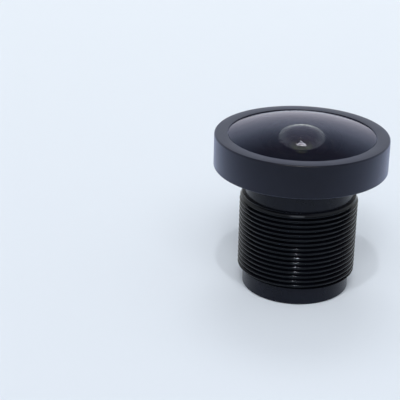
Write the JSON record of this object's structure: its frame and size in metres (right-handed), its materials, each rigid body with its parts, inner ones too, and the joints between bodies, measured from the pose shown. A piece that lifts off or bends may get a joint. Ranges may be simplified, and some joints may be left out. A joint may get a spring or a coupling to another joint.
{
  "type": "fisheye lens",
  "caption": "Wide-angle board lens: stacked glass elements in a black threaded barrel, under a screwed front ring.",
  "frame": {"origin": "centre of the barrel's rear end face, on the optical axis", "axes": "+Z along the optical axis, towards what the lens looks at; X and Y across it"},
  "size_m": [0.0175, 0.0174, 0.0176],
  "materials": {
    "barrel_black": "black anodised, satin, turned",
    "ring_black": "black anodised, satin",
    "washer_black": "matt black film",
    "rubber_black": "matt black rubber",
    "front_glass": "polished, anti-reflection coated",
    "mask_black": "matt black film",
    "spacer_black": "black anodised, matt",
    "inner_glass": "polished, anti-reflection coated",
    "filter_glass": "polished, infrared cut coating"
  },
  "bodies": {
    "barrel_body": {"barrel": "barrel_black", "front_gasket": "rubber_black", "front_element": "front_glass", "o_ring": "rubber_black", "front_mask": "mask_black", "front_spacer": "spacer_black", "second_element": "inner_glass", "front_baffle": "mask_black", "middle_spacer": "spacer_black", "third_element": "inner_glass", "stop_spacer": "spacer_black", "aperture_stop": "mask_black", "doublet_spacer": "spacer_black", "doublet_crown": "inner_glass", "doublet_flint": "inner_glass", "rear_spacer": "spacer_black", "rear_element": "inner_glass", "rear_baffle": "mask_black", "ir_cut_filter": "filter_glass", "filter_retaining_ring": "ring_black"},
    "washer_body": {"slip_washer": "washer_black"},
    "ring_body": {"front_retaining_ring": "ring_black"}
  },
  "joints": [
    {"name": "ring_rise", "type": "slide", "parent": "barrel_body", "child": "washer_body", "axis": [0, 0, 1], "range_m": [0, 0.002]},
    {"name": "ring_turn", "type": "hinge", "parent": "washer_body", "child": "ring_body", "pos_m": [0, 0, 0.0146], "axis": [0, 0, 1], "range_deg": [0, 1440]}
  ],
  "couplings": [
    {"joint": "ring_turn", "follows": "ring_rise", "rad_per_m": 12566}
  ]
}
